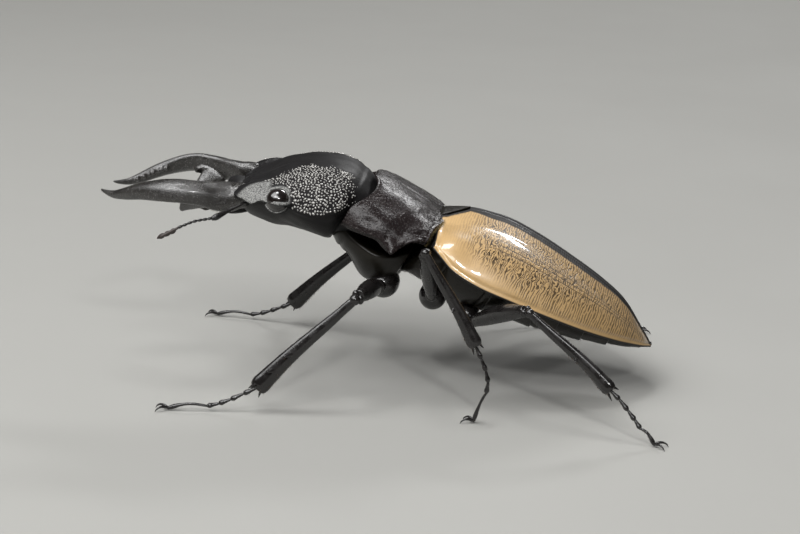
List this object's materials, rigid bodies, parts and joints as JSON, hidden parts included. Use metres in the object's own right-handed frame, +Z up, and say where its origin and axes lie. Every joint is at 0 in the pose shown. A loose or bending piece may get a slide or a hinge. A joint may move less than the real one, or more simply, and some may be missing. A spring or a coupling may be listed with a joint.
{
  "type": "stag beetle",
  "caption": "Life-size stag beetle standing with raised head, long toothed jaws and tan wing cases, a still model such as a museum shows.",
  "frame": {"origin": "middle of the box's base, on the plane that the feet stand on", "axes": "the head faces -Y, the beetle's left side is +X, +Z is up"},
  "size_m": [0.0542, 0.0826, 0.0317],
  "materials": {
    "shell_black": "satin black chitin, finely stippled, coarsely grained on the cheeks",
    "wing_case_tan": "glossy ochre tan with fine dark wrinkles, black seam and rim",
    "eye_black": "wet-looking glossy black",
    "leg_black": "polished black chitin with fine pits",
    "feeler_brown": "velvety grey brown"
  },
  "bodies": {
    "root": {"head": "shell_black", "labrum": "shell_black", "mentum": "shell_black", "mandible_left": "shell_black", "mandible_right": "shell_black", "pronotum": "shell_black", "prosternum": "shell_black", "scutellum": "shell_black", "hind_thorax": "shell_black", "abdomen": "shell_black", "eye_left": "eye_black", "eye_right": "eye_black", "wing_case_left": "wing_case_tan", "wing_case_right": "wing_case_tan", "scape_left": "leg_black", "scape_right": "leg_black", "funicle_left": "leg_black", "funicle_right": "leg_black", "club_left": "feeler_brown", "club_right": "feeler_brown", "palp_left": "feeler_brown", "palp_right": "feeler_brown", "coxa_front_left": "leg_black", "femur_front_left": "leg_black", "tibia_front_left": "leg_black", "tarsus_front_left": "leg_black", "claws_front_left": "leg_black", "coxa_front_right": "leg_black", "femur_front_right": "leg_black", "tibia_front_right": "leg_black", "tarsus_front_right": "leg_black", "claws_front_right": "leg_black", "coxa_middle_left": "leg_black", "femur_middle_left": "leg_black", "tibia_middle_left": "leg_black", "tarsus_middle_left": "leg_black", "claws_middle_left": "leg_black", "coxa_middle_right": "leg_black", "femur_middle_right": "leg_black", "tibia_middle_right": "leg_black", "tarsus_middle_right": "leg_black", "claws_middle_right": "leg_black", "coxa_hind_left": "leg_black", "femur_hind_left": "leg_black", "tibia_hind_left": "leg_black", "tarsus_hind_left": "leg_black", "claws_hind_left": "leg_black", "coxa_hind_right": "leg_black", "femur_hind_right": "leg_black", "tibia_hind_right": "leg_black", "tarsus_hind_right": "leg_black", "claws_hind_right": "leg_black"}
  },
  "joints": []
}
